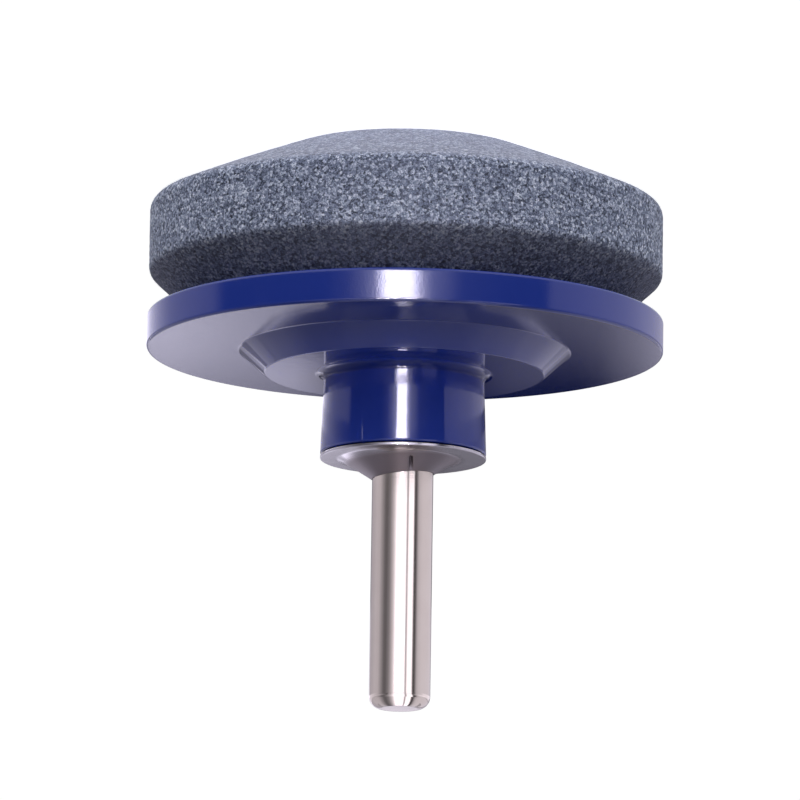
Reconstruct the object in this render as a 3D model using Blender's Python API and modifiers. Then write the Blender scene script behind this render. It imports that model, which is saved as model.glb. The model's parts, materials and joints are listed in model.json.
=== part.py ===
"""Rotary sharpener for lawn mower blades: a turned grinding stone on a moulded guide disc,
with a steel shank that a drill chuck holds.

It stands on the flat head of its stone, shank up, with the turning axis on +Z and z = 0 at the head.
Every length is in metres.
"""

import math

import bmesh
import bpy
from mathutils import Matrix

# Driving dimensions: the grinding stone
STONE_DIAMETER = 0.0506
STONE_HEAD_DIAMETER = 0.0229
STONE_CONE_HEIGHT = 0.0056
STONE_WALL_HEIGHT = 0.0068
STONE_BEVEL_HEIGHT = 0.0042
STONE_SEAT_DIAMETER = 0.0414
STONE_CROWN_DIAMETER = 0.0356
STONE_CROWN_BULGE = 0.00017
STONE_CROWN_ROUNDING = 0.1500
STONE_HEAD_ROUNDING = 0.0040
STONE_SHOULDER_ROUNDING = 0.0012
STONE_RIM_ROUNDING = 0.0010

# Driving dimensions: the guide disc with its stepped boss and hub
DISC_OVERHANG = 0.0001
DISC_THICKNESS = 0.0033
DISC_EDGE_ROUNDING = 0.0003
BOSS_ROOT_DIAMETER = 0.0326
BOSS_FACE_DIAMETER = 0.0275
BOSS_HEIGHT = 0.00225
BOSS_EDGE_ROUNDING = 0.0003
HUB_ROOT_DIAMETER = 0.0157
HUB_END_DIAMETER = 0.0163
HUB_HEIGHT = 0.0081
HUB_ROOT_FILLET = 0.0009
HUB_EDGE_ROUNDING = 0.0002

# Driving dimensions: the steel end plate and the weld that holds it to the shank
PLATE_THICKNESS = 0.00025
PLATE_EDGE_ROUNDING = 0.0001
WELD_HEIGHT = 0.0020
WELD_SLANT = 0.0006
WELD_REACH = 0.0065
WELD_OFFSET = 0.0005
WELD_LAND = 0.0001

# Driving dimensions: the shank
SHANK_DIAMETER = 0.0060
SHANK_FREE_LENGTH = 0.0247
SHANK_END_ROUNDING = 0.0012
KNURL_RAISE = 0.00015
KNURL_DEPTH = 0.0004
KNURL_TEETH = 24
SOCKET_DEPTH = 0.0115

# Clearances between pieces that seat on each other
BOND_GAP = 0.00015
PLATE_GAP = 0.00015
KNURL_CLEARANCE = 0.0003
WELD_CLEARANCE = 0.0001

# Facets of the turned pieces and of their rounded corners
LARGE_STEPS = 96
SMALL_STEPS = 48
DEGREES_PER_FACET = 22.5
MERGE_DISTANCE = 0.000001

# Heights of the seats, worked out from the head upwards
STONE_SHOULDER_Z = STONE_CONE_HEIGHT
STONE_RIM_Z = STONE_SHOULDER_Z + STONE_WALL_HEIGHT
STONE_SEAT_Z = STONE_RIM_Z + STONE_BEVEL_HEIGHT
DISC_LOW_Z = STONE_SEAT_Z + BOND_GAP
DISC_HIGH_Z = DISC_LOW_Z + DISC_THICKNESS
BOSS_FACE_Z = DISC_HIGH_Z + BOSS_HEIGHT
HUB_END_Z = BOSS_FACE_Z + HUB_HEIGHT
PLATE_LOW_Z = HUB_END_Z + PLATE_GAP
PLATE_HIGH_Z = PLATE_LOW_Z + PLATE_THICKNESS
SHANK_END_Z = PLATE_HIGH_Z + SHANK_FREE_LENGTH
SOCKET_FLOOR_Z = STONE_SEAT_Z - SOCKET_DEPTH
SHANK_ROOT_Z = SOCKET_FLOOR_Z + KNURL_CLEARANCE

# Radii of the pieces that fit each other
DISC_RADIUS = STONE_DIAMETER / 2 + DISC_OVERHANG
SHANK_RADIUS = SHANK_DIAMETER / 2
KNURL_CREST_RADIUS = SHANK_RADIUS + KNURL_RAISE
KNURL_ROOT_RADIUS = KNURL_CREST_RADIUS - KNURL_DEPTH
SOCKET_RADIUS = KNURL_CREST_RADIUS + KNURL_CLEARANCE
PLATE_BORE_RADIUS = SHANK_RADIUS + WELD_CLEARANCE


def clear_scene():
    """Removes whatever the start-up file holds."""
    for old in list(bpy.data.objects):
        bpy.data.objects.remove(old, do_unlink=True)


def new_collection(name):
    """Returns a collection of this name, linked to the scene."""
    collection = bpy.data.collections.new(name)
    bpy.context.scene.collection.children.link(collection)
    return collection


def new_material(name, colour, roughness, metallic):
    """Returns a Principled material with these three values."""
    material = bpy.data.materials.new(name)
    material.use_nodes = True
    shader = material.node_tree.nodes["Principled BSDF"]
    shader.inputs["Base Color"].default_value = (*colour, 1.0)
    shader.inputs["Roughness"].default_value = roughness
    shader.inputs["Metallic"].default_value = metallic
    return material


def rounded_corner(before, corner, after, radius):
    """Returns the points of the arc that rounds a corner of a profile, or the corner itself."""
    if radius == 0.0:
        return [corner]
    to_before = math.atan2(before[1] - corner[1], before[0] - corner[0])
    to_after = math.atan2(after[1] - corner[1], after[0] - corner[0])
    opening = (to_after - to_before + math.pi) % (2 * math.pi) - math.pi
    half = abs(opening) / 2
    setback = radius / math.tan(half)
    middle = to_before + opening / 2
    centre_r = corner[0] + math.cos(middle) * radius / math.sin(half)
    centre_z = corner[1] + math.sin(middle) * radius / math.sin(half)
    start_r = corner[0] + math.cos(to_before) * setback
    start_z = corner[1] + math.sin(to_before) * setback
    start = math.atan2(start_z - centre_z, start_r - centre_r)
    sweep = -math.copysign(math.pi - 2 * half, opening)
    facets = max(2, round(abs(math.degrees(sweep)) / DEGREES_PER_FACET))
    points = []
    for step in range(facets + 1):
        angle = start + sweep * step / facets
        points.append((centre_r + radius * math.cos(angle), centre_z + radius * math.sin(angle)))
    return points


def rounded_profile(corners):
    """Returns the profile through (radius, height, rounding) corners, each rounded by its arc."""
    points = []
    for index, (radius, height, rounding) in enumerate(corners):
        before = corners[index - 1][:2]
        after = corners[(index + 1) % len(corners)][:2]
        points += rounded_corner(before, (radius, height), after, rounding)
    return points


def turned_piece(name, points, ring, steps, collection, material):
    """Turns a profile about Z. The profile runs down its outer side, and a ring's profile is a closed loop."""
    edges = [(i, i + 1) for i in range(len(points) - 1)]
    if ring:
        edges.append((len(points) - 1, 0))
    mesh = bpy.data.meshes.new(name)
    mesh.from_pydata([(radius, 0.0, height) for radius, height in points], edges, [])
    piece = bpy.data.objects.new(name, mesh)
    collection.objects.link(piece)
    mesh.materials.append(material)
    turn = piece.modifiers.new("turn", "SCREW")
    turn.axis = "Z"
    turn.angle = 2 * math.pi
    turn.steps = steps
    turn.render_steps = steps
    turn.use_merge_vertices = True
    turn.merge_threshold = MERGE_DISTANCE
    turn.use_smooth_shade = True
    return piece


def mesh_piece(name, bm, collection, material):
    """Returns an object that holds the finished bmesh."""
    bmesh.ops.recalc_face_normals(bm, faces=bm.faces)
    mesh = bpy.data.meshes.new(name)
    bm.to_mesh(mesh)
    bm.free()
    mesh.materials.append(material)
    piece = bpy.data.objects.new(name, mesh)
    collection.objects.link(piece)
    return piece


def make_helper(piece):
    """Keeps an object that only shapes another one out of the render."""
    piece.hide_render = True
    piece.display_type = "WIRE"
    return piece


def add_boolean(piece, helper, operation):
    """Joins a helper to a piece, or cuts it out of it."""
    modifier = piece.modifiers.new(helper.name, "BOOLEAN")
    modifier.operation = operation
    modifier.object = helper
    modifier.solver = "EXACT"


def make_grinding_stone(parts, material):
    """The bonded abrasive: a flat head, a slightly crowned cone, a straight wall and a bevel to its seat,
    where a blind socket takes the knurled root of the shank."""
    slope = STONE_CONE_HEIGHT / (STONE_DIAMETER - STONE_HEAD_DIAMETER)
    crown_z = (STONE_CROWN_DIAMETER - STONE_HEAD_DIAMETER) * slope - STONE_CROWN_BULGE
    corners = [
        (0.0, SOCKET_FLOOR_Z, 0.0),
        (SOCKET_RADIUS, SOCKET_FLOOR_Z, 0.0),
        (SOCKET_RADIUS, STONE_SEAT_Z, 0.0),
        (STONE_SEAT_DIAMETER / 2, STONE_SEAT_Z, 0.0),
        (STONE_DIAMETER / 2, STONE_RIM_Z, STONE_RIM_ROUNDING),
        (STONE_DIAMETER / 2, STONE_SHOULDER_Z, STONE_SHOULDER_ROUNDING),
        (STONE_CROWN_DIAMETER / 2, crown_z, STONE_CROWN_ROUNDING),
        (STONE_HEAD_DIAMETER / 2, 0.0, STONE_HEAD_ROUNDING),
        (0.0, 0.0, 0.0),
    ]
    return turned_piece("grinding_stone", rounded_profile(corners), False, LARGE_STEPS, parts, material)


def make_guide_disc(parts, material):
    """The moulding that guides the blade: a flat disc, a stepped boss and a hub that widens to its end."""
    corners = [
        (SOCKET_RADIUS, HUB_END_Z, 0.0),
        (HUB_END_DIAMETER / 2, HUB_END_Z, HUB_EDGE_ROUNDING),
        (HUB_ROOT_DIAMETER / 2, BOSS_FACE_Z, HUB_ROOT_FILLET),
        (BOSS_FACE_DIAMETER / 2, BOSS_FACE_Z, BOSS_EDGE_ROUNDING),
        (BOSS_ROOT_DIAMETER / 2, DISC_HIGH_Z, BOSS_EDGE_ROUNDING),
        (DISC_RADIUS, DISC_HIGH_Z, DISC_EDGE_ROUNDING),
        (DISC_RADIUS, DISC_LOW_Z, DISC_EDGE_ROUNDING),
        (SOCKET_RADIUS, DISC_LOW_Z, 0.0),
    ]
    return turned_piece("guide_disc", rounded_profile(corners), True, LARGE_STEPS, parts, material)


def make_weld(helpers, material):
    """The weld that ties the plate to the shank, as a cone that climbs higher and reaches further on one side."""
    tip_radius = PLATE_BORE_RADIUS + WELD_LAND
    base_radius = WELD_REACH - WELD_OFFSET
    root = PLATE_THICKNESS / 2
    depth = WELD_HEIGHT + root
    bm = bmesh.new()
    bmesh.ops.create_cone(
        bm, cap_ends=True, segments=SMALL_STEPS, radius1=base_radius, radius2=tip_radius, depth=depth
    )
    for vertex in bm.verts:
        if vertex.co.z > 0.0:
            vertex.co.z -= WELD_SLANT * (tip_radius - vertex.co.x) / (2 * tip_radius)
        else:
            vertex.co.x += WELD_OFFSET
    bmesh.ops.translate(bm, verts=bm.verts, vec=(0.0, 0.0, PLATE_HIGH_Z - root + depth / 2))
    return make_helper(mesh_piece("plate_weld", bm, helpers, material))


def make_bore_cutter(helpers, material):
    """The cylinder that opens the plate and its weld for the shank."""
    length = PLATE_THICKNESS + WELD_HEIGHT
    bm = bmesh.new()
    bmesh.ops.create_cone(
        bm,
        cap_ends=True,
        segments=SMALL_STEPS,
        radius1=PLATE_BORE_RADIUS,
        radius2=PLATE_BORE_RADIUS,
        depth=2 * length,
        matrix=Matrix.Translation((0.0, 0.0, PLATE_LOW_Z + length / 2)),
    )
    return make_helper(mesh_piece("plate_bore", bm, helpers, material))


def make_end_plate(parts, helpers, material):
    """The steel plate that closes the hub, with a rounded edge and the weld that ties it to the shank."""
    corners = [
        (0.0, PLATE_HIGH_Z, 0.0),
        (HUB_END_DIAMETER / 2, PLATE_HIGH_Z, PLATE_EDGE_ROUNDING),
        (HUB_END_DIAMETER / 2, PLATE_LOW_Z, 0.0),
        (0.0, PLATE_LOW_Z, 0.0),
    ]
    plate = turned_piece("end_plate", rounded_profile(corners), False, LARGE_STEPS, parts, material)
    add_boolean(plate, make_weld(helpers, material), "UNION")
    add_boolean(plate, make_bore_cutter(helpers, material), "DIFFERENCE")
    return plate


def make_knurl(helpers, material):
    """The straight knurl of the shank's root, as a star-shaped prism that ends inside the plain shank."""
    top = HUB_END_Z - KNURL_CLEARANCE
    bm = bmesh.new()
    bmesh.ops.create_cone(
        bm,
        cap_ends=True,
        segments=2 * KNURL_TEETH,
        radius1=KNURL_CREST_RADIUS,
        radius2=KNURL_CREST_RADIUS,
        depth=top - SHANK_ROOT_Z,
        matrix=Matrix.Translation((0.0, 0.0, (top + SHANK_ROOT_Z) / 2)),
    )
    tooth = math.pi / KNURL_TEETH
    for vertex in bm.verts:
        if round(math.atan2(vertex.co.y, vertex.co.x) / tooth) % 2:
            vertex.co.x *= KNURL_ROOT_RADIUS / KNURL_CREST_RADIUS
            vertex.co.y *= KNURL_ROOT_RADIUS / KNURL_CREST_RADIUS
    return make_helper(mesh_piece("shank_knurl", bm, helpers, material))


def make_shank(parts, helpers, material):
    """The steel rod: a rounded free end for the chuck, and a knurled root that holds the disc and the stone."""
    core_radius = KNURL_ROOT_RADIUS - KNURL_RAISE
    knurl_top = HUB_END_Z - KNURL_CLEARANCE
    corners = [
        (0.0, SHANK_END_Z, 0.0),
        (SHANK_RADIUS, SHANK_END_Z, SHANK_END_ROUNDING),
        (SHANK_RADIUS, knurl_top - KNURL_DEPTH, 0.0),
        (core_radius, knurl_top - 2 * KNURL_DEPTH, 0.0),
        (core_radius, SHANK_ROOT_Z + KNURL_DEPTH, 0.0),
        (0.0, SHANK_ROOT_Z + KNURL_DEPTH, 0.0),
    ]
    shank = turned_piece("shank", rounded_profile(corners), False, SMALL_STEPS, parts, material)
    add_boolean(shank, make_knurl(helpers, material), "UNION")
    return shank


def main():
    clear_scene()
    parts = new_collection("mower_blade_sharpener")
    helpers = new_collection("shaping_helpers")
    abrasive = new_material("bonded_abrasive", (0.17, 0.19, 0.27), 0.95, 0.0)
    plastic = new_material("blue_plastic", (0.012, 0.020, 0.155), 0.22, 0.0)
    plate_steel = new_material("plate_steel", (0.42, 0.41, 0.41), 0.38, 1.0)
    shank_steel = new_material("shank_steel", (0.66, 0.62, 0.60), 0.24, 1.0)
    make_grinding_stone(parts, abrasive)
    make_guide_disc(parts, plastic)
    make_end_plate(parts, helpers, plate_steel)
    make_shank(parts, helpers, shank_steel)


main()
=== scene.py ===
"""The looks of a rotary sharpener for lawn mower blades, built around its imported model.

The part stands on the flat head of its stone, shank up. The photograph shows it the other way
up from slightly below, so the camera looks from slightly above and is rolled by half a turn.
"""

import json
import logging
import math
from dataclasses import dataclass, field
from enum import Enum

import bpy
import numpy as np
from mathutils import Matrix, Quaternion, Vector, noise

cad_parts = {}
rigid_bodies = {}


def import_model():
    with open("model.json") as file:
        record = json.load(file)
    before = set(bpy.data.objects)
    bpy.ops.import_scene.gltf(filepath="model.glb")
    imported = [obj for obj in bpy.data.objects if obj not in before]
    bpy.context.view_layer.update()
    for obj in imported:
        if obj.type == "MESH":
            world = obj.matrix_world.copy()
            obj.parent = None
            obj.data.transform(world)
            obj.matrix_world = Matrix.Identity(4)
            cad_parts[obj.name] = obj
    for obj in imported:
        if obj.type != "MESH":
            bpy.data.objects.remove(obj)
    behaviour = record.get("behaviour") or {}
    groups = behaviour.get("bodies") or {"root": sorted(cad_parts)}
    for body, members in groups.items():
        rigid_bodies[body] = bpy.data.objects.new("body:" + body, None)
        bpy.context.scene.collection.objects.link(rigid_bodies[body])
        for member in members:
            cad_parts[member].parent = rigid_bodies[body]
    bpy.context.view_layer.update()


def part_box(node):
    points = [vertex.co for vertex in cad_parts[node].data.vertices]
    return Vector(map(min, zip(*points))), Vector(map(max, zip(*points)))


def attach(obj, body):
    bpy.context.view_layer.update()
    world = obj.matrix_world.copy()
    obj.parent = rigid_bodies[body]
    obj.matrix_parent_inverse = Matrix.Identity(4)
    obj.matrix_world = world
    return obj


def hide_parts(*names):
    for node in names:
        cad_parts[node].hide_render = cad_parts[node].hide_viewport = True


LOG = logging.getLogger("sharpener")
Colour = tuple[float, float, float]
Corner = tuple[float, float, float]
Profile = list[tuple[float, float]]


class Ring(Enum):
    """How a turned surface is closed."""

    SOLID = "solid"
    LOOP = "loop"


class Shape(Enum):
    """How a reflector stands around the part."""

    RING = "ring"
    WALL = "wall"
    LID = "lid"
    FAN = "fan"


@dataclass(frozen=True)
class ProfileMaker:
    """Turns rounded corners into a dense profile whose flats stay flat when shaded smooth."""

    arc_degrees: float = 9.0
    longest_step: float = 0.0006
    holding_step: float = 0.00004
    plain_step: float = 0.0030

    def arc(self, before: Corner, corner: Corner, after: Corner) -> Profile:
        """Rounds one corner.

        Args:
            before: the corner that comes before it.
            corner: the corner itself, as radius, height and rounding.
            after: the corner that comes after it.

        Returns:
            The points of the arc, or the corner alone where it is sharp.
        """
        radius = corner[2]
        if radius == 0.0:
            return [corner[:2]]
        to_before = math.atan2(before[1] - corner[1], before[0] - corner[0])
        to_after = math.atan2(after[1] - corner[1], after[0] - corner[0])
        opening = (to_after - to_before + math.pi) % (2 * math.pi) - math.pi
        half = abs(opening) / 2
        middle = to_before + opening / 2
        centre_r = corner[0] + math.cos(middle) * radius / math.sin(half)
        centre_z = corner[1] + math.sin(middle) * radius / math.sin(half)
        start_r = corner[0] + math.cos(to_before) * radius / math.tan(half)
        start_z = corner[1] + math.sin(to_before) * radius / math.tan(half)
        start = math.atan2(start_z - centre_z, start_r - centre_r)
        sweep = -math.copysign(math.pi - 2 * half, opening)
        facets = max(3, round(abs(math.degrees(sweep)) / self.arc_degrees))
        angles = [start + sweep * step / facets for step in range(facets + 1)]
        return [(centre_r + radius * math.cos(a), centre_z + radius * math.sin(a)) for a in angles]

    def straight(self, first: tuple[float, float], last: tuple[float, float], step: float) -> Profile:
        """Fills a straight stretch with points, close together near its ends.

        Args:
            first: where the stretch begins.
            last: where it ends.
            step: the longest distance between two points.

        Returns:
            The points between the two ends.
        """
        length = math.dist(first, last)
        if length < 4 * self.holding_step:
            return []
        inner = length - 2 * self.holding_step
        count = max(1, math.ceil(inner / step))
        places = [self.holding_step + inner * index / count for index in range(count + 1)]
        return [
            (first[0] + (last[0] - first[0]) * place / length, first[1] + (last[1] - first[1]) * place / length)
            for place in places
        ]

    def outline(self, corners: list[Corner], ring: Ring, plain: tuple[int, ...] = ()) -> Profile:
        """Joins the arcs and the stretches between them.

        Args:
            corners: radius, height and rounding of each corner, in order.
            ring: whether the outline closes on itself.
            plain: numbers of the corners that a hidden stretch follows, which needs few points.

        Returns:
            The whole outline as radius and height.
        """
        arcs = [
            self.arc(corners[i - 1], corner, corners[(i + 1) % len(corners)])
            for i, corner in enumerate(corners)
        ]
        points: Profile = []
        for index, arc in enumerate(arcs):
            points += arc
            following = arcs[(index + 1) % len(arcs)]
            if ring is Ring.LOOP or index < len(arcs) - 1:
                step = self.plain_step if index in plain else self.longest_step
                points += self.straight(arc[-1], following[0], step)
        return points


@dataclass
class TurnedMesh:
    """A surface of revolution on a grid, whose rows may leave the true circle."""

    name: str
    profile: Profile
    columns: int
    ring: Ring
    radii: np.ndarray = field(init=False)
    heights: np.ndarray = field(init=False)
    angles: np.ndarray = field(init=False)

    def __post_init__(self) -> None:
        """Lays the true circles out."""
        self.angles = np.arange(self.columns) * (2 * math.pi / self.columns)
        points = np.array(self.profile)
        self.radii = np.repeat(points[:, :1], self.columns, axis=1)
        self.heights = np.repeat(points[:, 1:], self.columns, axis=1)

    def faces(self) -> tuple[list[tuple[float, float, float]], list[tuple[int, ...]]]:
        """Joins the rows.

        Returns:
            The vertices, and the faces as tuples of vertex numbers.
        """
        x = self.radii * np.cos(self.angles)
        y = self.radii * np.sin(self.angles)
        vertices: list[tuple[float, float, float]] = []
        rows: list[list[int]] = []
        for row in range(len(self.profile)):
            start = len(vertices)
            if self.ring is Ring.SOLID and row in (0, len(self.profile) - 1):
                vertices.append((0.0, 0.0, float(self.heights[row].mean())))
                rows.append([start] * self.columns)
            else:
                vertices += list(zip(x[row].tolist(), y[row].tolist(), self.heights[row].tolist()))
                rows.append(list(range(start, start + self.columns)))
        pairs = [(rows[i], rows[i + 1]) for i in range(len(rows) - 1)]
        if self.ring is Ring.LOOP:
            pairs.append((rows[-1], rows[0]))
        faces: list[tuple[int, ...]] = []
        for upper, lower in pairs:
            for column in range(self.columns):
                after = (column + 1) % self.columns
                corners = (upper[column], lower[column], lower[after], upper[after])
                faces.append(tuple(dict.fromkeys(corners)))
        return vertices, faces

    def build(self, sharp_degrees: float) -> bpy.types.Object:
        """Makes the object.

        Args:
            sharp_degrees: edges that turn further than this stay sharp.

        Returns:
            The new object, linked to the scene and shaded smooth.
        """
        vertices, faces = self.faces()
        mesh = bpy.data.meshes.new(self.name)
        mesh.from_pydata(vertices, [], faces)
        mesh.validate()
        mesh.shade_smooth()
        mesh.set_sharp_from_angle(angle=math.radians(sharp_degrees))
        piece = bpy.data.objects.new(self.name, mesh)
        bpy.context.scene.collection.objects.link(piece)
        return piece


class Graph:
    """A material's or world's nodes, added in a few words each."""

    def __init__(self, tree: bpy.types.NodeTree) -> None:
        """Keeps the tree and empties it."""
        self.tree = tree
        tree.nodes.clear()

    def add(self, kind: str, values: dict | None = None, **settings: object) -> bpy.types.Node:
        """Adds a node.

        Args:
            kind: the node's type.
            values: input name or number, with the value or the output socket that feeds it.
            settings: attributes of the node itself.

        Returns:
            The new node.
        """
        node = self.tree.nodes.new(kind)
        for key, value in settings.items():
            setattr(node, key, value)
        for key, value in (values or {}).items():
            if isinstance(value, bpy.types.NodeSocket):
                self.tree.links.new(value, node.inputs[key])
            else:
                node.inputs[key].default_value = value
        return node

    def maths(self, operation: str, first: object, second: object = 0.0) -> bpy.types.NodeSocket:
        """Adds a Math node.

        Args:
            operation: its operation.
            first: the first input, a number or a socket.
            second: the second input.

        Returns:
            The result's socket.
        """
        return self.add("ShaderNodeMath", {0: first, 1: second}, operation=operation).outputs[0]

    def ramp(self, factor: bpy.types.NodeSocket, stops: list[tuple[float, Colour]]) -> bpy.types.NodeSocket:
        """Adds a colour ramp.

        Args:
            factor: what drives it.
            stops: position and colour of each stop.

        Returns:
            The colour socket.
        """
        node = self.add("ShaderNodeValToRGB", {"Fac": factor})
        elements = node.color_ramp.elements
        while len(elements) < len(stops):
            elements.new(0.5)
        for element, (position, colour) in zip(elements, stops):
            element.position = position
            element.color = (*colour, 1.0)
        return node.outputs["Color"]

    def mix(self, factor: object, first: object, second: object, blend: str = "MIX") -> bpy.types.NodeSocket:
        """Mixes two colours.

        Args:
            factor: share of the second.
            first: the first colour or socket.
            second: the second colour or socket.
            blend: the way they are mixed.

        Returns:
            The mixed colour's socket.
        """
        node = self.add("ShaderNodeMix", data_type="RGBA", blend_type=blend)
        for key, value in ((0, factor), (6, first), (7, second)):
            if isinstance(value, bpy.types.NodeSocket):
                self.tree.links.new(value, node.inputs[key])
            elif isinstance(value, tuple):
                node.inputs[key].default_value = (*value, 1.0)
            else:
                node.inputs[key].default_value = value
        return node.outputs[2]

    def height_mask(self, low: float, high: float) -> bpy.types.NodeSocket:
        """Tells how far a point lies between two heights of the part.

        Args:
            low: height that gives 0.
            high: height that gives 1.

        Returns:
            A socket from 0 to 1.
        """
        place = self.add("ShaderNodeTexCoord").outputs["Object"]
        z = self.add("ShaderNodeSeparateXYZ", {0: place}).outputs["Z"]
        values = {"Value": z, "From Min": low, "From Max": high, "To Min": 0.0, "To Max": 1.0}
        return self.add("ShaderNodeMapRange", values, interpolation_type="SMOOTHSTEP").outputs["Result"]


def new_material(name: str) -> tuple[bpy.types.Material, Graph]:
    """Makes an empty node material.

    Args:
        name: its name.

    Returns:
        The material and its graph.
    """
    material = bpy.data.materials.new(name)
    material.use_nodes = True
    return material, Graph(material.node_tree)


@dataclass(frozen=True)
class AbrasiveFinish:
    """Bonded grit: grey-blue grains with bright facets, dark pores, a paler, dressed cone and a bevel darkened by
    painted shade.
    """

    pore: Colour = (0.019, 0.025, 0.042)
    dark: Colour = (0.057, 0.071, 0.116)
    middle: Colour = (0.178, 0.214, 0.333)
    light: Colour = (0.470, 0.520, 0.680)
    spark: Colour = (0.780, 0.820, 0.930)
    grain_size: float = 0.00026
    fine_size: float = 0.00013
    patch_size: float = 0.0022
    patch_weight: float = 0.20
    dressed: Colour = (0.31, 0.315, 0.385)
    dressed_share: float = 0.50
    bevel_painted_shade: float = 0.46
    roughness: float = 0.72
    sheen: float = 0.25
    relief: float = 0.00009

    def material(self, shoulder: float, head: float, rim: float) -> bpy.types.Material:
        """Makes the stone's material.

        Args:
            shoulder: height at which the wall meets the cone.
            head: height at which the dressed look is full.
            rim: height at which the wall meets the bevel, whose colour is darkened there as painted shade.

        Returns:
            The finished material.
        """
        material, graph = new_material("bonded_grit")
        place = graph.add("ShaderNodeTexCoord").outputs["Object"]
        grains = graph.add("ShaderNodeTexVoronoi", {"Vector": place, "Scale": 1 / self.grain_size})
        fine = graph.add("ShaderNodeTexVoronoi", {"Vector": place, "Scale": 1 / self.fine_size})
        patches = graph.add(
            "ShaderNodeTexNoise", {"Vector": place, "Scale": 1 / self.patch_size, "Detail": 3.0}
        )
        grain_tone = graph.add("ShaderNodeSeparateColor", {0: grains.outputs["Color"]}).outputs["Red"]
        fine_tone = graph.add("ShaderNodeSeparateColor", {0: fine.outputs["Color"]}).outputs["Green"]
        coarse_part = graph.maths("MULTIPLY", grain_tone, 0.55)
        tone = graph.maths("ADD", coarse_part, graph.maths("MULTIPLY", fine_tone, 0.45))
        patch = graph.maths("SUBTRACT", patches.outputs["Fac"], 0.5)
        shifted = graph.maths("ADD", tone, graph.maths("MULTIPLY", patch, self.patch_weight))
        stops = [
            (0.10, self.pore),
            (0.24, self.dark),
            (0.50, self.middle),
            (0.77, self.light),
            (0.90, self.spark),
        ]
        rough_colour = graph.ramp(shifted, stops)
        soft_colour = graph.mix(self.dressed_share, rough_colour, self.dressed)
        cone = graph.height_mask(shoulder, head)
        worn_colour = graph.mix(cone, rough_colour, soft_colour)
        # Painted shade: the bevel's colour is scaled down above the rim height, standing in for the shade under the
        # disc's overhang.
        shade = graph.maths("MULTIPLY_ADD", graph.height_mask(rim - 0.0004, rim + 0.0004), self.bevel_painted_shade - 1)
        shade.node.inputs[2].default_value = 1.0
        scaled = graph.add("ShaderNodeVectorMath", {0: worn_colour}, operation="SCALE")
        graph.tree.links.new(shade, scaled.inputs["Scale"])
        colour = scaled.outputs[0]
        pores = graph.maths("MULTIPLY", grains.outputs["Distance"], 1.0)
        relief = graph.maths("ADD", graph.maths("MULTIPLY", tone, 0.6), graph.maths("MULTIPLY", pores, -0.5))
        bump = graph.add("ShaderNodeBump", {"Strength": 0.8, "Distance": self.relief, "Height": relief})
        values = {"Base Color": colour, "Roughness": self.roughness, "Specular IOR Level": self.sheen}
        shader = graph.add("ShaderNodeBsdfPrincipled", values | {"Normal": bump.outputs[0]})
        graph.add("ShaderNodeOutputMaterial", {"Surface": shader.outputs[0]})
        return material


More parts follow.
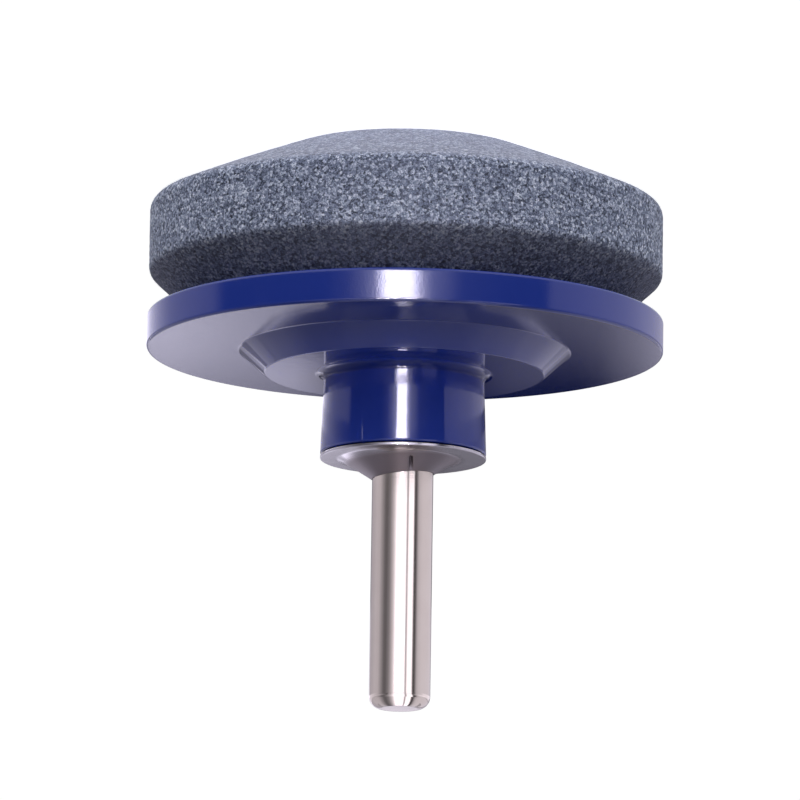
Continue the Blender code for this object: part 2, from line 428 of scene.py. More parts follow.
@dataclass(frozen=True)
class PlasticFinish:
    """Glossy moulded plastic in deep blue, with a faint orange peel and fine dust on its rim, a hub made lighter by
    painted light and a foot fillet darkened by painted shade.
    """

    colour: Colour = (0.0170, 0.040, 0.295)
    worn: Colour = (0.0205, 0.045, 0.325)
    hub_painted_light: float = 1.22
    gloss: float = 0.5
    foot_gloss: float = 0.14
    foot_painted_shade: float = 0.80
    roughness: float = 0.06
    peel_size: float = 0.0011
    peel_relief: float = 0.0000025
    rim_grain: float = 0.00016
    rim_relief: float = 0.000008

    def material(self, rim_low: float, rim_high: float, hub_low: float, foot: float) -> bpy.types.Material:
        """Makes the disc's material.

        Args:
            rim_low: lowest height of the disc's rim.
            rim_high: highest height of the disc's rim.
            hub_low: height at which the hub leaves the boss.
            foot: height of the fillet at the hub's foot, which is duller and whose colour is darkened as painted
                shade.

        Returns:
            The finished material.
        """
        material, graph = new_material("moulded_blue")
        place = graph.add("ShaderNodeTexCoord").outputs["Object"]
        flow = graph.add("ShaderNodeTexNoise", {"Vector": place, "Scale": 260.0, "Detail": 4.0})
        flat_colour = graph.mix(flow.outputs["Fac"], self.colour, self.worn)
        on_foot = graph.maths(
            "SUBTRACT",
            graph.height_mask(hub_low + 0.00002, hub_low + foot * 0.3),
            graph.height_mask(hub_low + foot * 0.8, hub_low + foot * 1.1),
        )
        # Painted light: the hub's colour is scaled up above the disc, standing in for light that falls on it.
        gain = graph.maths("MULTIPLY_ADD", graph.height_mask(rim_high, hub_low), self.hub_painted_light - 1)
        gain.node.inputs[2].default_value = 1.0
        # Painted shade: the fillet at the hub's foot is darkened in colour, standing in for the shade in that corner.
        gain = graph.maths("ADD", gain, graph.maths("MULTIPLY", on_foot, self.foot_painted_shade - self.hub_painted_light))
        gloss = graph.maths("MULTIPLY_ADD", on_foot, self.foot_gloss - self.gloss)
        gloss.node.inputs[2].default_value = self.gloss
        scaled = graph.add("ShaderNodeVectorMath", {0: flat_colour}, operation="SCALE")
        graph.tree.links.new(gain, scaled.inputs["Scale"])
        colour = scaled.outputs[0]
        peel = graph.add("ShaderNodeTexNoise", {"Vector": place, "Scale": 1 / self.peel_size, "Detail": 1.0})
        grain = graph.add("ShaderNodeTexNoise", {"Vector": place, "Scale": 1 / self.rim_grain, "Detail": 2.0})
        on_rim = graph.maths(
            "SUBTRACT",
            graph.height_mask(rim_low - 0.0001, rim_low),
            graph.height_mask(rim_high, rim_high + 0.0001),
        )
        grain_height = graph.maths("MULTIPLY", grain.outputs["Fac"], on_rim)
        rough = graph.add(
            "ShaderNodeMapRange",
            {"Value": flow.outputs["Fac"], "To Min": self.roughness * 0.8, "To Max": self.roughness * 1.35},
        )
        peel_bump = graph.add(
            "ShaderNodeBump", {"Distance": self.peel_relief, "Height": peel.outputs["Fac"]}
        )
        bump = graph.add(
            "ShaderNodeBump",
            {"Distance": self.rim_relief, "Height": grain_height, "Normal": peel_bump.outputs[0]},
        )
        values = {"Base Color": colour, "Roughness": rough.outputs[0], "Specular IOR Level": gloss, "IOR": 1.5}
        shader = graph.add("ShaderNodeBsdfPrincipled", values | {"Normal": bump.outputs[0]})
        graph.add("ShaderNodeOutputMaterial", {"Surface": shader.outputs[0]})
        return material


@dataclass(frozen=True)
class SteelFinish:
    """Turned or ground steel: fine marks round the axis, a little tarnish and some fine scratches."""

    name: str
    colour: Colour
    tarnish: Colour
    roughness: float
    mark_pitch: float
    mark_relief: float
    heat_tint: Colour | None = None
    heat_roughness: float = 0.42
    heat_inner: float = 0.0052
    heat_outer: float = 0.0064

    def heated(self, graph: Graph, place: bpy.types.NodeSocket) -> bpy.types.NodeSocket:
        """Tells how near a point is to the axis, where the heat of a weld dulls the steel.

        Args:
            graph: the graph to add to.
            place: the point's place.

        Returns:
            A socket from 0 to 1.
        """
        flat = graph.add("ShaderNodeVectorMath", {0: place, 1: (1.0, 1.0, 0.0)}, operation="MULTIPLY")
        reach = graph.add("ShaderNodeVectorMath", {0: flat.outputs[0]}, operation="LENGTH").outputs["Value"]
        values = {"Value": reach, "From Min": self.heat_outer, "From Max": self.heat_inner}
        return graph.add("ShaderNodeMapRange", values, interpolation_type="SMOOTHSTEP").outputs["Result"]

    def material(self) -> bpy.types.Material:
        """Makes the steel's material."""
        material, graph = new_material(self.name)
        place = graph.add("ShaderNodeTexCoord").outputs["Object"]
        squeezed = graph.add("ShaderNodeMapping", {"Vector": place, "Scale": (0.02, 0.02, 1.0)})
        marks = graph.add(
            "ShaderNodeTexNoise",
            {"Vector": squeezed.outputs[0], "Scale": 1 / self.mark_pitch, "Detail": 2.0},
        )
        cloud = graph.add("ShaderNodeTexNoise", {"Vector": place, "Scale": 420.0, "Detail": 5.0})
        colour = graph.mix(graph.maths("MULTIPLY", cloud.outputs["Fac"], 0.55), self.colour, self.tarnish)
        values = {"Value": cloud.outputs["Fac"], "To Min": self.roughness * 0.75, "To Max": self.roughness * 1.35}
        rough = graph.add("ShaderNodeMapRange", values).outputs[0]
        if self.heat_tint is not None:
            near = self.heated(graph, place)
            colour = graph.mix(near, colour, self.heat_tint)
            rough = graph.maths("MAXIMUM", rough, graph.maths("MULTIPLY", near, self.heat_roughness))
        bump = graph.add("ShaderNodeBump", {"Distance": self.mark_relief, "Height": marks.outputs["Fac"]})
        shader = graph.add(
            "ShaderNodeBsdfPrincipled",
            {"Base Color": colour, "Metallic": 1.0, "Roughness": rough, "Normal": bump.outputs[0]},
        )
        graph.add("ShaderNodeOutputMaterial", {"Surface": shader.outputs[0]})
        return material


class Piece:
    """One visible piece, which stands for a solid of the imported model."""

    node: str
    slot: str

    def settle(self, piece: bpy.types.Object) -> bpy.types.Object:
        """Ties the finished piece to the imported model.

        Args:
            piece: the object.

        Returns:
            The same object.
        """
        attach(piece, "root")
        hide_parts(self.node)
        LOG.info("%s stands for %s, with %d faces", piece.name, self.node, len(piece.data.polygons))
        return piece


@dataclass
class GrindingStone(Piece):
    """The bonded abrasive, with its grain as real relief."""

    node: str = "grinding_stone"
    slot: str = "abrasive"
    head_diameter: float = 0.0229
    cone_height: float = 0.0056
    wall_height: float = 0.0068
    seat_diameter: float = 0.0414
    crown_diameter: float = 0.0356
    crown_bulge: float = 0.00017
    crown_rounding: float = 0.1500
    head_rounding: float = 0.0040
    shoulder_rounding: float = 0.0012
    rim_rounding: float = 0.0010
    socket_radius: float = 0.00345
    socket_floor: float = 0.0051
    columns: int = 620
    row_step: float = 0.00023
    hidden_stretches: tuple[int, ...] = (0, 1, 2, 7)
    grain: float = 0.00042
    relief: float = 0.000035
    pits: float = 0.00007
    skin: float = 0.0012
    finish: AbrasiveFinish = AbrasiveFinish()

    def corners(self) -> list[Corner]:
        """Gives the stone's outline from its socket to its head."""
        low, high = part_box(self.node)
        radius = high.x
        wall_top = self.cone_height + self.wall_height
        slope = self.cone_height / (2 * radius - self.head_diameter)
        crown = (self.crown_diameter - self.head_diameter) * slope - self.crown_bulge
        return [
            (0.0, self.socket_floor, 0.0),
            (self.socket_radius, self.socket_floor, 0.0),
            (self.socket_radius, high.z, 0.0),
            (self.seat_diameter / 2, high.z, 0.0),
            (radius, wall_top, self.rim_rounding),
            (radius, self.cone_height, self.shoulder_rounding),
            (self.crown_diameter / 2, crown, self.crown_rounding),
            (self.head_diameter / 2, low.z, self.head_rounding),
            (0.0, low.z, 0.0),
        ]

    def roughen(self, turned: TurnedMesh) -> None:
        """Sinks grains and pits into the outer rows, never past the true outline.

        Args:
            turned: the smooth surface, which is changed in place.
        """
        points = np.array(turned.profile)
        normals = np.zeros_like(points)
        normals[1:-1] = (points[2:] - points[:-2])[:, ::-1] * (1.0, -1.0)
        lengths = np.maximum(np.linalg.norm(normals, axis=1, keepdims=True), 1e-12)
        normals /= lengths
        for row, (radius, height) in enumerate(turned.profile):
            if radius < self.socket_radius + self.skin or height > turned.profile[0][1] + 0.0112:
                continue
            share = min(1.0, max(height, 0.0002) / 0.001)
            for column, angle in enumerate(turned.angles):
                place = Vector((radius * math.cos(angle), radius * math.sin(angle), height)) / self.grain
                lump = noise.noise(place) + 0.5 * noise.noise(place * 2.1)
                pit = max(0.0, noise.noise(place * 0.9 + Vector((7.0, 3.0, 5.0))) - 0.25)
                depth = (self.relief * (0.9 + lump) + self.pits * pit * 2.0) * share
                depth = max(depth, 0.0)
                turned.radii[row, column] += normals[row, 0] * depth
                turned.heights[row, column] += normals[row, 1] * depth

    def build(self) -> bpy.types.Object:
        """Builds and dresses the stone."""
        maker = ProfileMaker(arc_degrees=8.0, longest_step=self.row_step, holding_step=0.00005)
        outline = maker.outline(self.corners(), Ring.SOLID, self.hidden_stretches)
        turned = TurnedMesh("stone_body", outline, self.columns, Ring.SOLID)
        self.roughen(turned)
        piece = turned.build(sharp_degrees=60.0)
        heights = (
            self.cone_height + 0.0006,
            self.cone_height - self.shoulder_rounding * 0.7,
            self.cone_height + self.wall_height,
        )
        piece.data.materials.append(self.finish.material(*heights))
        return self.settle(piece)


@dataclass
class GuideDisc(Piece):
    """The blue moulding: flat disc, stepped boss and drafted hub."""

    node: str = "guide_disc"
    slot: str = "plastic"
    thickness: float = 0.0033
    edge_rounding: float = 0.0003
    boss_root_diameter: float = 0.0326
    boss_face_diameter: float = 0.0275
    boss_height: float = 0.00225
    boss_rounding: float = 0.0003
    hub_root_diameter: float = 0.0157
    hub_end_diameter: float = 0.0163
    hub_fillet: float = 0.0009
    hub_rounding: float = 0.0002
    bore_radius: float = 0.00345
    columns: int = 360
    finish: PlasticFinish = PlasticFinish()

    def corners(self) -> list[Corner]:
        """Gives the moulding's outline, from the hub's end round to its bore."""
        low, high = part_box(self.node)
        upper = low.z + self.thickness
        face = upper + self.boss_height
        return [
            (self.bore_radius, high.z, 0.0),
            (self.hub_end_diameter / 2, high.z, self.hub_rounding),
            (self.hub_root_diameter / 2, face, self.hub_fillet),
            (self.boss_face_diameter / 2, face, self.boss_rounding),
            (self.boss_root_diameter / 2, upper, self.boss_rounding),
            (high.x, upper, self.edge_rounding),
            (high.x, low.z, self.edge_rounding),
            (self.bore_radius, low.z, 0.0),
        ]

    def build(self) -> bpy.types.Object:
        """Builds and dresses the moulding."""
        low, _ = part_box(self.node)
        outline = ProfileMaker().outline(self.corners(), Ring.LOOP)
        piece = TurnedMesh("disc_moulding", outline, self.columns, Ring.LOOP).build(sharp_degrees=40.0)
        upper = low.z + self.thickness
        face = upper + self.boss_height
        piece.data.materials.append(self.finish.material(low.z, upper, face, self.hub_fillet))
        return self.settle(piece)


@dataclass
class EndPlate(Piece):
    """The steel plate on the hub's end, with the weld that runs up the shank on one side."""

    node: str = "end_plate"
    slot: str = "plate_steel"
    thickness: float = 0.00025
    edge_rounding: float = 0.0001
    bore_radius: float = 0.00305
    weld_height: float = 0.0020
    weld_slant: float = 0.0006
    weld_reach: float = 0.0065
    weld_offset: float = 0.0005
    weld_hollow: float = 1.15
    notch_side: float = -0.00077
    notch_width: float = 0.00013
    notch_inner: float = 0.0034
    notch_outer: float = 0.0047
    notch_depth: float = 0.00050
    columns: int = 720
    finish: SteelFinish = SteelFinish(
        name="turned_plate",
        colour=(0.52, 0.51, 0.52),
        tarnish=(0.30, 0.27, 0.27),
        roughness=0.15,
        mark_pitch=0.00012,
        mark_relief=0.000002,
        heat_tint=(0.170, 0.150, 0.152),
    )

    def notch(self, radius: float, angles: np.ndarray) -> np.ndarray:
        """Gives the depth of the short slit in the weld's front.

        Args:
            radius: distance from the axis.
            angles: the angles round the axis.

        Returns:
            The depth at each angle.
        """
        across = (radius * np.cos(angles) - self.notch_side) / self.notch_width
        middle = (self.notch_inner + self.notch_outer) / 2
        along = abs(radius - middle) / (self.notch_outer - self.notch_inner) * 2
        ends = min(1.0, max(0.0, 1.3 - along) / 0.3)
        return self.notch_depth * ends * np.exp(-(across**2)) * (np.sin(angles) < 0.0)

    def build(self) -> bpy.types.Object:
        """Builds and dresses the plate."""
        low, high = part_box(self.node)
        face = low.z + self.thickness
        corners = [
            (self.bore_radius, face, 0.0),
            (high.x, face, self.edge_rounding),
            (high.x, low.z, 0.0),
            (self.bore_radius, low.z, 0.0),
        ]
        maker = ProfileMaker(longest_step=0.00012)
        turned = TurnedMesh("plate_with_weld", maker.outline(corners, Ring.LOOP), self.columns, Ring.LOOP)
        side = np.cos(turned.angles)
        height_here = self.weld_height - self.weld_slant * (1 - side) / 2
        reach = self.weld_reach - self.weld_offset * (1 - side) - self.bore_radius
        for row, (radius, height) in enumerate(turned.profile):
            if height < face - 1e-9:
                continue
            share = np.clip(1 - (radius - self.bore_radius) / reach, 0.0, 1.0)
            climb = height_here * share**self.weld_hollow
            turned.heights[row] += climb - self.notch(radius, turned.angles)
        piece = turned.build(sharp_degrees=50.0)
        piece.data.materials.append(self.finish.material())
        return self.settle(piece)


@dataclass
class Shank(Piece):
    """The steel rod, from the rounded end that the chuck holds to its knurled root."""

    node: str = "shank"
    slot: str = "shank_steel"
    radius: float = 0.0030
    end_rounding: float = 0.0012
    knurl_raise: float = 0.00015
    knurl_depth: float = 0.0004
    knurl_teeth: int = 24
    knurl_top: float = 0.0301
    columns: int = 192
    finish: SteelFinish = SteelFinish(
        name="ground_shank",
        colour=(0.79, 0.72, 0.610),
        tarnish=(0.65, 0.565, 0.475),
        roughness=0.09,
        mark_pitch=0.00009,
        mark_relief=0.0000012,
    )

    def build(self) -> bpy.types.Object:
        """Builds and dresses the shank."""
        low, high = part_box(self.node)
        corners = [
            (0.0, high.z, 0.0),
            (self.radius, high.z, self.end_rounding),
            (self.radius, self.knurl_top, 0.0),
            (self.radius, low.z, 0.0),
            (0.0, low.z, 0.0),
        ]
        maker = ProfileMaker(longest_step=0.0008)
        turned = TurnedMesh("shank_rod", maker.outline(corners, Ring.SOLID), self.columns, Ring.SOLID)
        wave = np.abs(((turned.angles * self.knurl_teeth / (2 * math.pi)) % 1.0) * 2 - 1)
        for row, (radius, height) in enumerate(turned.profile):
            if radius > self.radius - 1e-9 and height < self.knurl_top - self.knurl_depth:
                turned.radii[row] += self.knurl_raise - self.knurl_depth * wave
        piece = turned.build(sharp_degrees=50.0)
        piece.data.materials.append(self.finish.material())
        return self.settle(piece)


@dataclass(frozen=True)
class Row:
    """One row of a reflector: its own place, and how bright it is at each of the reflector's columns."""

    place: float
    levels: tuple[float, ...]


@dataclass(frozen=True)
class Reflector:
    """A camera-invisible card that glossy surfaces mirror, with brightness that varies over it."""

    name: str
    shape: Shape
    offset: float
    columns: tuple[float, ...]
    rows: tuple[Row, ...]
    fineness: int = 12
    view_tilt: float = 10.9
    end_radius: float = 0.0030
    end_rounding: float = 0.0012
    end_height: float = 0.0555

    def point(self, column: float, row: float) -> tuple[float, float, float]:
        """Places a point of the card.

        Args:
            column: degrees round the axis from the front, or metres across on a wall.
            row: height on a ring or wall, radius on a lid, or degrees up the shank's rounded end on a fan.

        Returns:
            x, y and z.
        """
        if self.shape is Shape.WALL:
            return column, self.offset, row
        if self.shape is Shape.FAN:
            return self.mirrored(math.radians(column), math.radians(row))
        angle = math.radians(column)
        radius, height = (self.offset, row) if self.shape is Shape.RING else (row, self.offset)
        return radius * math.sin(angle), -radius * math.cos(angle), height

    def mirrored(self, turn: float, rise: float) -> tuple[float, float, float]:
        """Finds where a point of the shank's rounded end sees the card in its mirror.

        Args:
            turn: the point's angle round the axis from the front, in radians.
            rise: how far its normal points up, in radians.

        Returns:
            x, y and z on the card.
        """
        normal = Vector((math.sin(turn) * math.cos(rise), -math.cos(turn) * math.cos(rise), math.sin(rise)))
        tilt = math.radians(self.view_tilt)
        towards_view = Vector((0.0, -math.cos(tilt), math.sin(tilt)))
        ray = 2 * normal.dot(towards_view) * normal - towards_view
        flat = (self.end_radius - self.end_rounding) * Vector((math.sin(turn), -math.cos(turn), 0.0))
        start = flat + self.end_rounding * normal + Vector((0.0, 0.0, self.end_height - self.end_rounding))
        return tuple(start + ray * ((self.offset - start.z) / ray.z))

    def build(self, material: bpy.types.Material) -> bpy.types.Object:
        """Makes the card.

        Args:
            material: the glow that reads its brightness.

        Returns:
            The card, marked as stage.
        """
        steps = (len(self.columns) - 1) * self.fineness
        fine = np.interp(np.arange(steps + 1) / self.fineness, np.arange(len(self.columns)), self.columns)
        vertices: list[tuple[float, float, float]] = []
        levels: list[float] = []
        for row in self.rows:
            vertices += [self.point(column, row.place) for column in fine.tolist()]
            levels += np.interp(fine, self.columns, row.levels).tolist()
        across = steps + 1
        faces = [
            (r * across + c, r * across + c + 1, (r + 1) * across + c + 1, (r + 1) * across + c)
            for r in range(len(self.rows) - 1)
            for c in range(steps)
        ]
        mesh = bpy.data.meshes.new(self.name)
        mesh.from_pydata(vertices, [], faces)
        mesh.attributes.new("glow", "FLOAT", "POINT").data.foreach_set("value", levels)
        mesh.materials.append(material)
        card = bpy.data.objects.new(self.name, mesh)
        bpy.context.scene.collection.objects.link(card)
        card.visible_camera = False
        card.visible_diffuse = False
        card.visible_shadow = False
        card.visible_transmission = False
        return card


@dataclass(frozen=True)
class Studio:
    """A lit white table, a plain white surround, soft lamps and the camera."""

    image_size: int = 800
    pixels_per_metre: float = 10175.0
    camera_distance: float = 0.90
    camera_elevation: float = 10.9
    camera_roll: float = 0.85
    axis_x: float = 404.6
    disc_y: float = 352.3
    sensor: float = 36.0
    floor_size: float = 3.0
    table_glow: float = 0.88
    table_albedo: float = 0.82
    surround_level: float = 0.06
    surround_shown: float = 0.99
    top_power: float = 6.0
    card_tint: Colour = (1.0, 0.955, 1.16)
    ring_radius: float = 0.085
    foot_radius: float = 0.040
    wall_distance: float = 0.10

    def camera(self, disc_height: float) -> bpy.types.Object:
        """Places the camera so that the disc's centre falls where the photograph has it.

        Args:
            disc_height: height of the disc's hub side, which the photograph shows from below.

        Returns:
            The scene's camera.
        """
        data = bpy.data.cameras.new("view")
        data.sensor_width = self.sensor
        data.lens = self.camera_distance * self.sensor * self.pixels_per_metre / self.image_size
        data.clip_start = 0.05
        data.clip_end = 20.0
        camera = bpy.data.objects.new("view", data)
        bpy.context.scene.collection.objects.link(camera)
        tilt = math.radians(self.camera_elevation)
        back = Vector((0.0, -math.cos(tilt), math.sin(tilt)))
        upright = (-back).to_track_quat("-Z", "Y")
        roll = Quaternion((0.0, 0.0, 1.0), math.radians(180.0 + self.camera_roll))
        turn = upright @ roll
        right = turn @ Vector((1.0, 0.0, 0.0))
        up = turn @ Vector((0.0, 1.0, 0.0))
        across = (self.image_size / 2 - self.axis_x) / self.pixels_per_metre
        along = (self.disc_y - self.image_size / 2) / self.pixels_per_metre
        target = Vector((0.0, 0.0, disc_height)) + right * across + up * along
        camera.rotation_mode = "QUATERNION"
        camera.rotation_quaternion = turn
        camera.location = target + back * self.camera_distance
        bpy.context.scene.camera = camera
        return camera

    def seen_rays(self, graph: Graph) -> bpy.types.NodeSocket:
        """Tells camera, glossy and transmission rays from the rest.

        Args:
            graph: the graph to add to.

        Returns:
            A socket that is 1 for those rays.
        """
        path = graph.add("ShaderNodeLightPath")
        either = graph.maths("MAXIMUM", path.outputs["Is Camera Ray"], path.outputs["Is Glossy Ray"])
        return graph.maths("MAXIMUM", either, path.outputs["Is Transmission Ray"])

    def surround(self) -> None:
        """Makes the white world."""
        world = bpy.data.worlds.new("surround")
        bpy.context.scene.world = world
        world.use_nodes = True
        graph = Graph(world.node_tree)
        seen = self.seen_rays(graph)
        values = {"Value": seen, "To Min": self.surround_level, "To Max": self.surround_shown}
        level = graph.add("ShaderNodeMapRange", values).outputs[0]
        glow = graph.add("ShaderNodeBackground", {"Color": (1.0, 1.0, 1.0, 1.0), "Strength": level})
        graph.add("ShaderNodeOutputWorld", {"Surface": glow.outputs[0]})

    def table(self) -> bpy.types.Object:
        """Makes the lit white table that the part stands on."""
        half = self.floor_size / 2
        mesh = bpy.data.meshes.new("table")
        mesh.from_pydata([(-half, -half, 0), (half, -half, 0), (half, half, 0), (-half, half, 0)], [], [(0, 1, 2, 3)])
        material, graph = new_material("lit_table")
        top = graph.add("ShaderNodeBsdfDiffuse", {"Color": (self.table_albedo,) * 3 + (1.0,)})
        glow = graph.add("ShaderNodeEmission", {"Color": (1.0, 1.0, 1.0, 1.0), "Strength": self.table_glow})
        both = graph.add("ShaderNodeAddShader", {0: top.outputs[0], 1: glow.outputs[0]})
        graph.add("ShaderNodeOutputMaterial", {"Surface": both.outputs[0]})
        mesh.materials.append(material)
        table = bpy.data.objects.new("table", mesh)
        bpy.context.scene.collection.objects.link(table)
        return table

    def lamp(self, name: str, place: Vector, aim: Vector, size: tuple[float, float], power: float) -> None:
        """Adds a soft rectangular lamp.

        Args:
            name: the lamp's name.
            place: where it hangs.
            aim: what it points at.
            size: its width and height.
            power: its power in watts.
        """
        data = bpy.data.lights.new(name, "AREA")
        data.shape = "RECTANGLE"
        data.size, data.size_y = size
        data.energy = power
        lamp = bpy.data.objects.new(name, data)
        bpy.context.scene.collection.objects.link(lamp)
        lamp.location = place
        lamp.rotation_mode = "QUATERNION"
        lamp.rotation_quaternion = (aim - place).to_track_quat("-Z", "Y")
        lamp.visible_camera = False
        lamp.visible_glossy = False

    def reflectors(self) -> None:
        """Stands the dark and bright cards that the glossy pieces mirror."""
        material, graph = new_material("card_glow")
        value = graph.add("ShaderNodeAttribute", attribute_name="glow").outputs["Fac"]
        glow = graph.add("ShaderNodeEmission", {"Color": (*self.card_tint, 1.0), "Strength": value})
        graph.add("ShaderNodeOutputMaterial", {"Surface": glow.outputs[0]})
        rings = (self.low_ring(), self.high_ring(), self.strip(), self.foot_right(), self.foot_left())
        ends = (self.end_cap(), self.end_fan(), self.end_rim())
        for card in rings + ends + (self.back_wall(), self.upper_wall(), self.lid()):
            card.build(material)

    def low_ring(self) -> Reflector:
        """Gives what the disc's rim mirrors low down, then the hub, then the steel plate's edge."""
        columns = (
            -180.0, -144.0, -115.0, -85.0, -64.0, -57.5, -56.5, -37.0, -21.0, -10.5, -7.7, -4.4, -3.6, 8.6, 9.3,
            10.2, 12.5, 16.0, 22.0, 30.0, 56.4, 56.6, 57.6, 57.8, 76.0, 82.0, 92.0, 113.0, 150.0, 180.0,
        )
        rim = (
            0.10, 0.65, 1.05, 1.05, 0.80, 0.75, 0.0, 0.02, 0.2, 1.9, 3.4, 10.0, 27.0, 27.0, 9.0,
            4.2, 3.0, 1.4, 0.3, 0.0, 0.0, 0.0, 0.0, 0.0, 0.0, 0.65, 0.75, 0.75, 1.45, 1.60,
        )
        hub = (
            0.05, 0.12, 0.60, 0.78, 0.72, 0.55, 0.0, 0.02, 0.1, 1.2, 3.4, 12.0, 30.0, 30.0, 18.0,
            6.0, 3.0, 0.9, 0.3, 0.0, 0.0, 2.6, 2.6, 0.0, 0.0, 0.10, 0.22, 0.68, 1.10, 1.30,
        )
        steel = (
            0.20, 0.30, 0.40, 0.40, 0.30, 0.25, 0.20, 0.12, 0.12, 0.15, 0.25, 0.60, 2.4, 2.4, 0.60,
            0.25, 0.15, 0.12, 0.12, 0.12, 0.20, 0.20, 0.20, 0.20, 0.35, 0.50, 0.60, 0.70, 0.70, 0.70,
        )
        rows = (
            Row(0.0005, rim),
            Row(0.0087, rim),
            Row(0.0090, hub),
            Row(0.0110, hub),
            Row(0.0115, steel),
            Row(0.0169, steel),
        )
        return Reflector("low_ring", Shape.RING, self.ring_radius, columns, rows)

    def shank_bands(self) -> tuple[tuple[float, ...], tuple[float, ...]]:
        """Gives the columns and levels of the bands that the shank mirrors."""
        columns = (
            -150.0, -100.0, -85.0, -72.0, -64.0, -58.0, -52.5, -46.0, -43.5, -25.0, -23.0, -18.0, -16.0, 20.0,
            26.0, 34.0, 44.0, 56.0, 64.0, 76.0, 90.0, 108.0, 128.0, 150.0,
        )
        levels = (
            0.76, 0.76, 0.75, 0.68, 0.55, 0.25, 0.05, 0.25, 1.6, 1.6, 0.55, 0.55, 1.6, 1.6,
            0.95, 0.55, 0.26, 0.14, 0.16, 0.34, 0.56, 0.60, 0.52, 0.45,
        )
        return columns, levels

    def high_ring(self) -> Reflector:
        """Gives what the shank mirrors, and above that the ends of the boss's flank."""
        columns, levels = self.shank_bands()
        upper = (1.10, 1.00) + levels[2:-3] + (0.70, 0.82, 0.88)
        rows = (Row(0.0169, levels), Row(0.0436, levels), Row(0.0444, upper), Row(0.0605, upper))
        return Reflector("high_ring", Shape.RING, self.ring_radius, columns, rows)

    def strip(self) -> Reflector:
        """Gives the strong strip that the foot of the hub mirrors by way of the boss."""
        columns = (-12.0, -4.2, -3.4, 9.0, 9.8, 14.0)
        levels = (3.0, 20.0, 140.0, 140.0, 50.0, 2.0)
        strong = (5.0, 50.0, 310.0, 310.0, 120.0, 3.0)
        dark = tuple(0.0 for _ in levels)
        rows = (
            Row(0.0354, strong),
            Row(0.0374, strong),
            Row(0.0375, dark),
            Row(0.0407, dark),
            Row(0.0408, levels),
            Row(0.0432, levels),
        )
        return Reflector("upper_strip", Shape.RING, self.ring_radius - 0.001, columns, rows)

    def foot_right(self) -> Reflector:
        """Gives what the right of the hub's foot mirrors by way of the disc, and dark next to it."""
        columns = (-128.0, -115.0, -85.0, -64.0, -57.5, -56.5, -14.0)
        levels = (2.4, 2.2, 2.8, 2.6, 2.0, 0.0, 0.0)
        edge = (0.40, 0.40, 0.40, 0.30, 0.25, 0.12, 0.12)
        rows = (Row(0.02335, levels), Row(0.0241, levels), Row(0.0242, edge), Row(0.0249, edge))
        return Reflector("foot_right", Shape.RING, self.foot_radius, columns, rows)

    def foot_left(self) -> Reflector:
        """Gives what the left of the hub's foot mirrors by way of the disc."""
        columns = (76.0, 82.0, 92.0, 113.0, 128.0)
        levels = (0.0, 0.8, 1.8, 3.2, 3.4)
        rows = (Row(0.02335, levels), Row(0.0241, levels))
        return Reflector("foot_left", Shape.RING, self.foot_radius, columns, rows)

    def back_wall(self) -> Reflector:
        """Gives what the disc's flat and the boss's face mirror."""
        columns = (
            -0.0800, -0.0290, -0.0255, -0.0215, -0.0190, -0.0165, -0.0120, -0.0085, 0.0080, 0.0088, 0.0120,
            0.0200, 0.0260, 0.0800,
        )
        low = (0.70, 0.15, 0.08, 0.05, 0.03, 0.00, 0.00, 0.00, 0.00, 0.00, 0.00, 0.08, 0.15, 0.70)
        rows = (
            Row(0.0000, low),
            Row(0.0270, low),
            Row(0.0290, (0.60, 0.40, 0.12, 0.00, 0.00, 0.00, 0.00, 0.00, 0.00, 0.22, 0.38, 0.50, 0.60, 0.60)),
            Row(0.0365, (0.75, 0.55, 0.18, 0.02, 0.00, 0.00, 0.00, 0.00, 0.00, 0.30, 0.45, 0.58, 0.72, 0.80)),
            Row(0.0385, (0.85, 0.70, 0.34, 0.05, 0.00, 0.00, 0.03, 0.02, 0.02, 0.45, 0.62, 0.82, 1.05, 1.15)),
            Row(0.0395, (0.95, 0.78, 0.47, 0.14, 0.02, 0.04, 0.08, 0.04, 0.04, 0.56, 0.82, 1.04, 1.28, 1.40)),
            Row(0.0408, (1.00, 0.82, 0.53, 0.26, 0.21, 0.16, 0.12, 0.06, 0.06, 0.56, 0.88, 1.20, 1.45, 1.60)),
            Row(0.0432, (1.00, 0.82, 0.53, 0.30, 0.25, 0.20, 0.14, 0.08, 0.06, 0.48, 0.84, 1.20, 1.45, 1.60)),
            Row(0.0442, (1.00, 0.82, 0.53, 0.30, 0.25, 0.20, 0.14, 0.08, 0.06, 0.30, 0.60, 1.15, 1.45, 1.60)),
            Row(0.0450, (1.00, 0.82, 0.53, 0.30, 0.25, 0.20, 0.14, 0.10, 0.08, 0.10, 0.26, 0.85, 1.40, 1.60)),
            Row(0.0470, (1.00, 0.82, 0.53, 0.30, 0.25, 0.20, 0.14, 0.10, 0.08, 0.10, 0.26, 0.85, 1.40, 1.60)),
        )
        return Reflector("back_wall", Shape.WALL, self.wall_distance, columns, rows, fineness=6)

    def upper_wall(self) -> Reflector:
        """Gives what the steel plate's flat mirrors."""
        columns = (-0.080, -0.0090, -0.0050, -0.0035, 0.0035, 0.0060, 0.0800)
        levels = (0.42, 0.28, 0.26, 0.16, 0.16, 0.72, 0.86)
        rows = (Row(0.0470, levels), Row(0.0800, levels))
        return Reflector("upper_wall", Shape.WALL, self.wall_distance, columns, rows)

    def end_cap(self) -> Reflector:
        """Gives what the shank's rounded end mirrors near its start."""
        columns, levels = self.shank_bands()
        rows = (Row(0.0040, levels), Row(0.0165, levels))
        return Reflector("end_cap", Shape.LID, 0.0574, columns, rows)

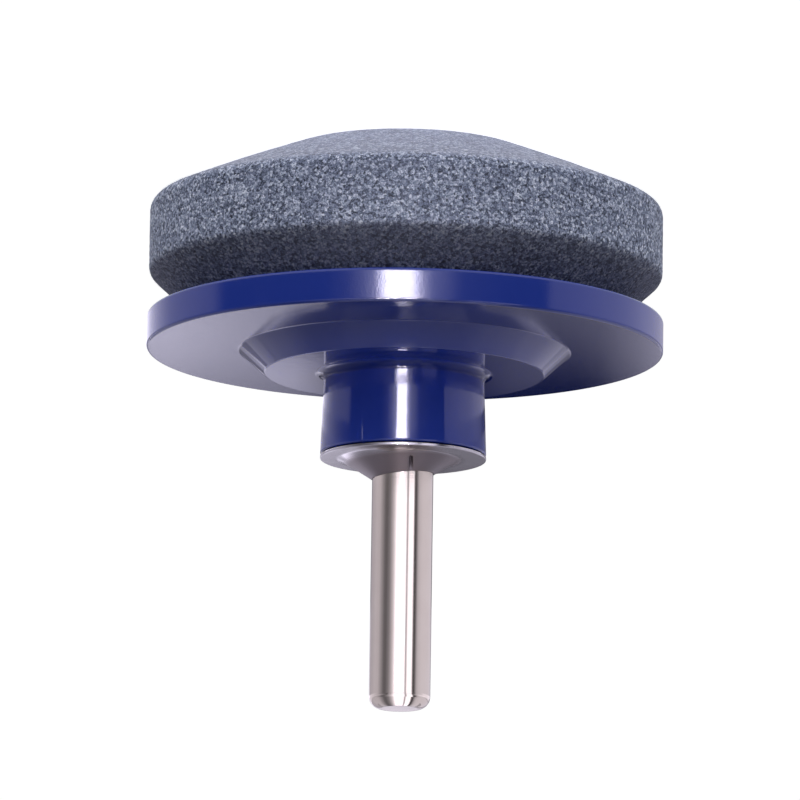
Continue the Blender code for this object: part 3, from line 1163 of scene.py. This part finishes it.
    def end_fan(self) -> Reflector:
        """Gives what the shank's rounded end mirrors nearer to its flat."""
        columns, levels = self.shank_bands()
        halves = tuple(column / 2 for column in columns)
        rows = tuple(Row(rise, levels) for rise in (22.0, 32.0, 42.0, 52.0, 62.0, 70.0, 77.0, 82.0, 86.0))
        return Reflector("end_fan", Shape.FAN, 0.0572, halves[1:-2], tuple(self.cut(row) for row in rows))

    def end_rim(self) -> Reflector:
        """Gives what the front of the shank's rounding mirrors right at its start."""
        columns, levels = self.shank_bands()
        rows = (Row(0.0220, levels[7:17]), Row(0.0560, levels[7:17]))
        return Reflector("end_rim", Shape.LID, 0.0585, columns[7:17], rows)

    def cut(self, row: Row) -> Row:
        """Drops the outermost levels of a row, which lie behind the shank."""
        return Row(row.place, row.levels[1:-2])

    def lid(self) -> Reflector:
        """Gives what the weld, the boss's flank and the foot of the hub mirror."""
        columns = (
            -180.0, -172.0, -165.0, -126.0, -100.0, -80.0, -50.0, 50.0, 80.0, 100.0, 126.0, 142.0, 158.0, 172.0, 180.0,
        )
        rows = (
            Row(0.0001, (0.40, 0.40, 0.40, 0.40, 0.45, 0.45, 0.50, 0.50, 0.45, 0.45, 0.40, 0.40, 0.40, 0.40, 0.40)),
            Row(0.0240, (0.40, 0.40, 0.40, 0.40, 0.50, 0.60, 0.56, 0.56, 0.50, 0.42, 0.40, 0.40, 0.40, 0.40, 0.40)),
            Row(0.0260, (0.85, 0.85, 0.40, 0.40, 0.55, 0.75, 0.50, 0.40, 0.48, 0.40, 0.40, 0.40, 0.40, 0.85, 0.85)),
            Row(0.0340, (0.85, 0.85, 0.40, 0.40, 0.80, 0.90, 0.25, 0.10, 0.42, 0.45, 0.50, 0.60, 0.50, 0.85, 0.85)),
            Row(0.0420, (0.50, 0.50, 0.40, 0.55, 1.00, 1.10, 0.15, 0.05, 0.50, 0.60, 0.65, 0.95, 1.20, 0.50, 0.50)),
            Row(0.0500, (0.80, 0.80, 0.80, 0.95, 1.20, 1.10, 0.15, 0.05, 0.60, 0.75, 0.72, 1.10, 1.90, 0.80, 0.80)),
            Row(0.0680, (0.80, 0.80, 0.90, 1.00, 1.25, 1.10, 0.15, 0.05, 0.60, 0.75, 0.75, 0.80, 2.20, 0.80, 0.80)),
            Row(0.0880, (0.80, 0.80, 0.95, 1.10, 1.30, 1.10, 0.15, 0.05, 0.65, 0.85, 0.80, 0.50, 0.60, 0.60, 0.80)),
        )
        return Reflector("lid", Shape.LID, 0.060, columns, rows)

    def build(self, disc_height: float) -> None:
        """Builds the whole studio.

        Args:
            disc_height: height of the disc's hub side.
        """
        self.surround()
        self.table()
        self.reflectors()
        centre = Vector((0.0, 0.0, 0.02))
        self.lamp("top_softbox", Vector((-0.18, -0.62, 1.89)), centre, (1.0, 1.0), self.top_power)
        self.camera(disc_height)


def main() -> None:
    """Loads the frame, builds every piece in order and sets the studio up."""
    logging.basicConfig(level=logging.INFO, format="%(name)s: %(message)s")
    for old in list(bpy.data.objects):
        bpy.data.objects.remove(old, do_unlink=True)
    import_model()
    bpy.context.scene.view_settings.view_transform = "Standard"
    disc = GuideDisc()
    for piece in (GrindingStone(), disc, EndPlate(), Shank()):
        piece.build()
    low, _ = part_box(disc.node)
    Studio().build(low.z + disc.thickness)


if __name__ == "__main__":
    main()
